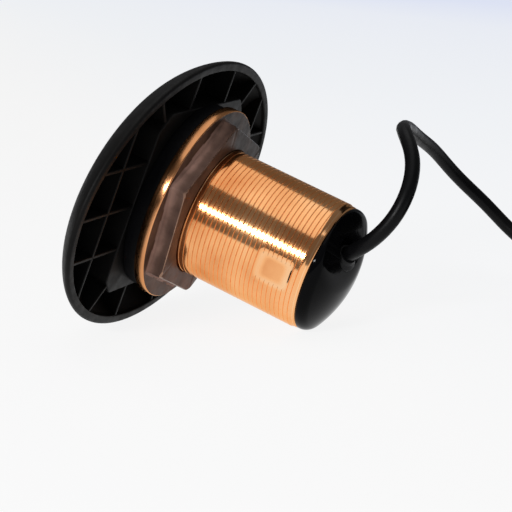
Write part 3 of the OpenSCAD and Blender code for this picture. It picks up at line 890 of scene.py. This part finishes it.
def stem_skin():
    """Skin of the stem from its foot up the thread, over its end and down its bore."""
    edge = 0.3
    low, high = THREAD_Z, LAND_Z
    rows = [
        ring(FOOT_RING_R, WINDOW_TOP), ring(FOOT_R - edge, WINDOW_TOP), ring(FOOT_R, WINDOW_TOP + edge),
        ring(FOOT_R, FOOT_TOP - edge), ring(FOOT_R - edge, FOOT_TOP),
        ring(PITCH_R, FOOT_TOP), ring(PITCH_R, low),
    ]
    first = len(rows)
    quarters = (-4.6, -4, -3, -2, -1, 0, 1, 2, 3, 4, 4.6)
    shares = [0.0] + [0.5 + GROOVE_HALF * k / 4 for k in quarters]
    for pitch in range(-1, math.ceil((high - low) / THREAD_PITCH) + 1):
        for share in shares:
            row = []
            for i, t in enumerate(turns()):
                z = low + THREAD_PITCH * (pitch + share + i / ROUND)
                start, end = clamp((z - low) / RUN_OUT), clamp((high - z) / RUN_OUT)
                r = min(STEM_R - thread_depth(share) * start, LAND_R + (STEM_R - LAND_R) * end)
                row.append(milled(r, t, min(max(z, low), high)))
            rows.append(row)
    last = len(rows) - 1
    rows.append(ring(LAND_R, high))
    rows += [ring(LAND_R - inset, STEM_LEN - below) for inset, below in STEM_END_EDGE]
    rows += [
        ring(STEM_BORE_R, STEM_LEN), ring(STEM_BORE_R, ELEMENT_TOP), ring(SLEEVE_R, ELEMENT_TOP),
        ring(SLEEVE_R, FOOT_ROOF), ring(FOOT_RING_R, FOOT_ROOF),
    ]

    def climbed(row):
        return min(row + len(shares), last) if first <= row <= last else row

    return skin(rows, closed=True, seam=climbed)


def milled(r, t, z):
    """Point of the thread, pressed back to the bare flat where that is milled."""
    x, y = r * math.cos(t - FLAT_TURN), r * math.sin(t - FLAT_TURN)
    inside = FLAT_LEN / 2 - abs(z - FLAT_MID)
    share = ease(inside / FLAT_EASE) if z < FLAT_MID else float(inside > 0)
    if x > FLAT_PLANE and abs(y) < FLAT_HALF_WID:
        x += (FLAT_PLANE - x) * share
    c, s = math.cos(FLAT_TURN), math.sin(FLAT_TURN)
    return (x * c - y * s, x * s + y * c, z)


def add_stem(material):
    """The bronze stem with its fine thread."""
    stem = add_mesh("stem_thread", *stem_skin(), LAY, material, sharp=50)
    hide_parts("stem_housing")


def hex_reach(t):
    """Distance from the axis to the nut's side at an angle, with its corners a little rounded."""
    corner_round = 0.5
    local = (t - NUT_TURN) % (math.pi / 3) - math.pi / 6
    flat = NUT_AF / 2
    other = math.pi / 3 - abs(local)
    return smooth_min(flat / math.cos(local), flat / math.cos(other), corner_round)


def nut_skin():
    """Skin of the nut: round flange, hexagon with its crown chamfered to arcs, bore."""
    n = 3 * ROUND
    mouth = 1.2
    face_w = 3.5
    inner_r = NUT_AF / math.sqrt(3) - NUT_CHAMFER / NUT_CHAMFER_SLOPE
    flange = [
        (NUT_BORE_R, WASHER_T, 0), (NUT_FLANGE_R, WASHER_T, 0.4),
        (NUT_FLANGE_R, NUT_FOOT, 0.5), (NUT_BORE_R, NUT_FOOT, 0),
    ]
    rows = [ring(r, z, n) for r, z in fillet(flange)[:-1]]

    def chamfered(point, below):
        drop = max(math.hypot(*point[:2]) - inner_r, 0.0) * NUT_CHAMFER_SLOPE
        return (*point[:2], NUT_TOP - drop - below)

    for inset, rise in NUT_FOOT_FILLET:
        rows.append(loop(lambda t: hex_reach(t) - inset, NUT_FOOT + rise, n))
    for inset, below in NUT_CROWN_EDGE:
        side = loop(lambda t: hex_reach(t) - inset, NUT_TOP, n)
        rows.append([chamfered(point, below) for point in side])
    rows += [ring(NUT_BORE_R + face_w, NUT_TOP, n), ring(NUT_BORE_R + mouth, NUT_TOP, n)]
    rows.append(ring(NUT_BORE_R, NUT_TOP - mouth, n))
    return skin(rows, closed=True)


def add_nut(turned, cast, shaded_crown, pale_edge):
    """The bronze hull nut: a turned flange, six sides with a cast skin, a crown darkened with painted shade
    and edges bared to the metal.
    """
    nut = add_mesh("hull_nut_body", *nut_skin(), LAY, turned, sharp=25)
    for material in (cast, shaded_crown, pale_edge):
        nut.data.materials.append(material)
    sides_z = (NUT_FOOT - 0.05) * MM
    crown_z = (NUT_TOP - 1.5) * MM
    step_r = (NUT_AF / 2 + 1.4) * MM
    edge_r = (NUT_AF / 2 - 1) * MM
    slanted, bevelled, level = 0.3, 0.96, 0.98
    for face in nut.data.polygons:
        reach = Vector(face.center[:2]).length
        up = face.normal.z
        crown = face.center.z > crown_z and abs(up) > slanted
        step = reach > step_r and up > level
        edge = crown and reach > edge_r and slanted < up < bevelled
        if face.center.z > sides_z:
            face.material_index = 3 if edge else 2 if crown or step else 1
    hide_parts("hull_nut")


def add_washer(material):
    """The collar washer between fairing and nut."""
    points = [
        (STEM_HOLE_R, 0, 0.3), (WASHER_R, 0, 0.6), (WASHER_R, WASHER_T, 0.6), (STEM_HOLE_R, WASHER_T, 0.3),
    ]
    washer = lathe("collar_washer", points, LAY, material)
    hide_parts("sealing_washer")


def add_window(material):
    """The acoustic window in the wet face."""
    points = [
        (AXIS_R, -FAIRING_DEPTH, 0), (FOOT_R, -FAIRING_DEPTH, 0.6),
        (FOOT_R, WINDOW_TOP, 0.2), (AXIS_R, WINDOW_TOP, 0),
    ]
    window = lathe("window_disc", points, LAY, material)
    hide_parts("acoustic_window")


# End cap

def cap_outline():
    """Cap's section from its skirt over the shoulder to the top of the dome."""
    shoulder_r, shoulder_z = CAP_R - CAP_SHOULDER, STEM_LEN + CAP_SKIRT
    dome_r = shoulder_r / math.cos(CAP_DOME_ANGLE) + CAP_SHOULDER
    dome_z = shoulder_z - shoulder_r * math.tan(CAP_DOME_ANGLE)
    edge = 0.25
    shoulder_steps, dome_steps = 24, 41
    out = [(CAP_R - edge, STEM_LEN), (CAP_R, STEM_LEN + edge)]
    for k in range(shoulder_steps + 1):
        a = CAP_DOME_ANGLE * k / shoulder_steps
        out.append((shoulder_r + CAP_SHOULDER * math.cos(a), shoulder_z + CAP_SHOULDER * math.sin(a)))
    for k in range(1, dome_steps):
        a = CAP_DOME_ANGLE + (math.pi / 2 - CAP_DOME_ANGLE) * k / dome_steps
        out.append((dome_r * math.cos(a), dome_z + dome_r * math.sin(a)))
    return out, dome_z + dome_r


def cap_skin():
    """Skin of the cap: the spigot in the stem's bore, and the dome pressed back to the slanted facet."""
    section, top = cap_outline()
    n = 2 * ROUND
    facet_round = 1.4
    skirt_z = STEM_LEN + 0.3

    def pressed(x, y, z):
        s = x * math.cos(CAP_TURN) + y * math.sin(CAP_TURN)
        return (x, y, max(smooth_min(z, facet_height(s), facet_round), min(z, skirt_z)))

    rows = [ring(SPIGOT_R, STEM_LEN - SPIGOT_LEN, n), ring(SPIGOT_R, STEM_LEN, n)]
    rows += [[pressed(*p) for p in ring(r, z, n)] for r, z in section]
    verts, faces = skin(rows)
    last = len(verts) - n
    verts.append(pressed(0, 0, top))
    faces += [(last + i, last + (i + 1) % n, last + n) for i in range(n)]
    faces.append(tuple(reversed(range(n))))
    return verts, faces


def add_cap(material):
    """The domed cap with its slanted facet and the recess round the cable."""
    sharp = 40
    n = 96
    cap = add_mesh("end_cap_dome", *cap_skin(), LAY, material, sharp)
    recess = capped([ring(RECESS_R, -RECESS_DEPTH, n), ring(RECESS_R, 2 * RECESS_DEPTH, n)])
    carve(cap, *recess, OUTLET, sharp)
    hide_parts("end_cap")


def add_grommet(material):
    """The sleeve that seals the cable in the cap's recess."""
    bore_r = CABLE_D / 2 + 0.05
    r = RECESS_R - 0.15
    shoulder_z = -2.5
    neck_r, neck_z = 4.9, -1.2
    lip_r, lip_z = 4.2, 0.6
    points = [
        (bore_r, -RECESS_DEPTH, 0), (r, -RECESS_DEPTH, 0), (r, shoulder_z, 0.5),
        (neck_r, neck_z, 0.8), (lip_r, lip_z, 0.35), (bore_r, lip_z, 0.1),
    ]
    grommet = lathe("outlet_grommet", points, OUTLET, material)
    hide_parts("cable_grommet")


# Connector

def add_connector(boot_material, body_material):
    """Boot, body and coupling ring of the connector that lies on the coil."""
    head_r = PLUG_R - 0.3
    tail_r = CABLE_D / 2 + 1.2
    parts = 6
    notch_round = 0.25
    notch = ((0.0, -0.9), (-0.8, -0.5), (-0.8, 0.5), (0.1, 0.9))
    points = [(AXIS_R, 0, 0), (tail_r, 0, 0.5)]
    for k in range(1, parts - 1):
        z = k * BOOT_LEN / parts
        r = tail_r + (head_r - tail_r) * k / parts
        points += [(r + out, z + up, notch_round) for out, up in notch]
    points += [(head_r, BOOT_LEN, 0.5), (AXIS_R, BOOT_LEN, 0)]
    boot = lathe("connector_boot_ribbed", points, PLUG, boot_material)
    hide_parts("connector_boot")
    nose_z, end_z = BOOT_LEN + PLUG_LEN - NOSE_LEN, BOOT_LEN + PLUG_LEN
    groove_r, groove_z = NOSE_R - 0.4, nose_z + 2
    insert_z = end_z - INSERT_LEN
    body = lathe("connector_shell", [
        (AXIS_R, BOOT_LEN, 0), (PLUG_R, BOOT_LEN, 0.5), (PLUG_R, nose_z, 0.3), (groove_r, nose_z, 0),
        (groove_r, groove_z, 0), (NOSE_R, groove_z, 0.2), (NOSE_R, end_z, 0.5),
        (INSERT_BORE_R, end_z, 0.3), (INSERT_BORE_R, insert_z, 0), (AXIS_R, insert_z, 0),
    ], PLUG, body_material)
    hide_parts("connector_body")
    ring_reach = 6.0
    ring_skin = fluted_ring(nose_z + ring_reach - RING_LEN)
    collar = add_mesh("coupling_ring_fluted", *ring_skin, PLUG, body_material)
    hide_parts("coupling_ring")
    return [boot, body, collar]


def fluted_ring(z):
    """Skin of the coupling ring from a height on: plain edges and a fluted grip between them."""
    flutes = 18
    depth = 0.8
    edge, band, grip = 0.5, 2.0, 2.6

    def row(inset, at, deep=0.0):
        return loop(lambda t: RING_R - inset - deep * max(math.cos(flutes * t), 0.0) ** 2, at)

    end = z + RING_LEN
    return skin([
        ring(RING_BORE_R, z), row(edge, z), row(0, z + edge), row(0, z + band), row(0, z + grip, depth),
        row(0, end - grip, depth), row(0, end - band), row(0, end - edge), row(edge, end),
        ring(RING_BORE_R, end),
    ], closed=True)


# Studio

def add_floor():
    """Pale floor that glows to the camera and in reflections, bluer to the back, and keeps a soft shadow."""
    reach = 6.0
    glow_share = 0.88
    to_back = (0.57, 0.405, 0.0)
    mesh = bpy.data.meshes.new("floor")
    corners = [(-reach, -reach, 0), (reach, -reach, 0), (reach, reach, 0), (-reach, reach, 0)]
    mesh.from_pydata(corners, [], [(0, 1, 2, 3)])
    floor = bpy.data.objects.new("floor", mesh)
    bpy.context.collection.objects.link(floor)
    finish = Finish("floor_white", (0.85, 0.85, 0.86), 0.9)
    rays = finish.tree.nodes.new("ShaderNodeLightPath")
    seen = finish.math("MAXIMUM", rays.outputs["Is Camera Ray"], rays.outputs["Is Glossy Ray"])
    seen = finish.math("MAXIMUM", seen, rays.outputs["Is Transmission Ray"])
    away = finish.tree.nodes.new("ShaderNodeVectorMath")
    away.operation = "DOT_PRODUCT"
    finish.feed(away.inputs[0], finish.coords)
    away.inputs[1].default_value = to_back
    tint = finish.colors(away.outputs["Value"], [
        (0.02, (1.0, 1.0, 1.0)), (0.27, (0.95, 0.97, 1.0)), (0.7, (0.9, 0.93, 1.0)), (1.0, (0.8, 0.85, 1.0)),
    ])
    glow = finish.node("ShaderNodeEmission", Color=tint, Strength=1.0)
    mix = finish.node("ShaderNodeMixShader", Fac=finish.math("MULTIPLY", seen, glow_share))
    finish.tree.links.new(finish.shader.outputs["BSDF"], mix.inputs[1])
    finish.tree.links.new(glow.outputs["Emission"], mix.inputs[2])
    finish.tree.links.new(mix.outputs["Shader"], finish.tree.nodes["Material Output"].inputs["Surface"])
    mesh.materials.append(finish.material)


def add_light(name, place, target, size, power):
    """Rectangular soft box that faces a target."""
    lamp = bpy.data.lights.new(name, "AREA")
    lamp.shape = "RECTANGLE"
    lamp.size, lamp.size_y = size
    lamp.energy = power
    light = bpy.data.objects.new(name, lamp)
    bpy.context.collection.objects.link(light)
    light.location = place
    light.rotation_euler = (Vector(target) - Vector(place)).to_track_quat("-Z", "Y").to_euler()


def add_studio():
    """Grey surroundings, a wide soft box overhead and a strip at the front."""
    world = bpy.data.worlds.new("studio")
    bpy.context.scene.world = world
    world.use_nodes = True
    background = world.node_tree.nodes["Background"]
    background.inputs["Color"].default_value = (0.94, 0.94, 0.97, 1.0)
    background.inputs["Strength"].default_value = 0.17
    middle = (0.02, 0.0, 0.04)
    add_light("overhead_box", (0.05, 0.02, 1.05), middle, (1.8, 0.72), 3.5)
    add_light("front_strip", (-0.17, -1.15, 0.515), middle, (0.4, 0.08), 8)


# The part

add_camera()
cable = add_cable(moulded("cable_jacket"))
rubber = moulded("soft_rubber")
connector = add_connector(rubber, moulded("connector_plastic"))
add_ties(moulded("tie_plastic"))
add_fairing(moulded("fairing_plastic"))
add_washer(moulded("collar_plastic"))
add_stem(threaded_bronze())
add_nut(flange_bronze(), cast_bronze(), shaded_crown_bronze(), rubbed_bronze())
add_window(moulded("window_rubber"))
add_cap(gloss_black())
add_grommet(rubber)

NODE_FINISHES = {
    "foot_gasket": rubber,
    "cap_o_ring": rubber,
    "connector_seal": rubber,
    "matching_layer": plain("matching_epoxy", (0.3, 0.29, 0.25), 0.5),
    "ceramic_disc": plain("ceramic_white", (0.7, 0.65, 0.52), 0.4),
    "element_sleeve": plain("cork_sleeve", (0.35, 0.22, 0.11), 0.8, scale=250),
    "backing_disc": plain("cork_backing", (0.4, 0.27, 0.14), 0.8, scale=250),
    "thermistor": plain("sensor_bead", (0.04, 0.05, 0.06), 0.3),
    "potting_fill": plain("potting_resin", (0.03, 0.03, 0.035), 0.35),
    "tuning_coil": plain("enamelled_copper", (0.45, 0.17, 0.07), 0.3, 1.0, 900),
    "id_board": plain("board_green", (0.03, 0.15, 0.06), 0.35),
    "lead_wires": plain("wire_red", (0.4, 0.04, 0.03), 0.4),
    "connector_insert": plain("insert_grey", (0.04, 0.04, 0.045), 0.45),
    "connector_contacts": plain("contact_gold", (0.85, 0.6, 0.22), 0.22, 1.0, 900),
}
for name, material in NODE_FINISHES.items():
    mesh = frame["nodes"][name].data
    mesh.materials.clear()
    mesh.materials.append(material)

add_floor()
add_studio()
bpy.context.scene.view_settings.view_transform = "Standard"
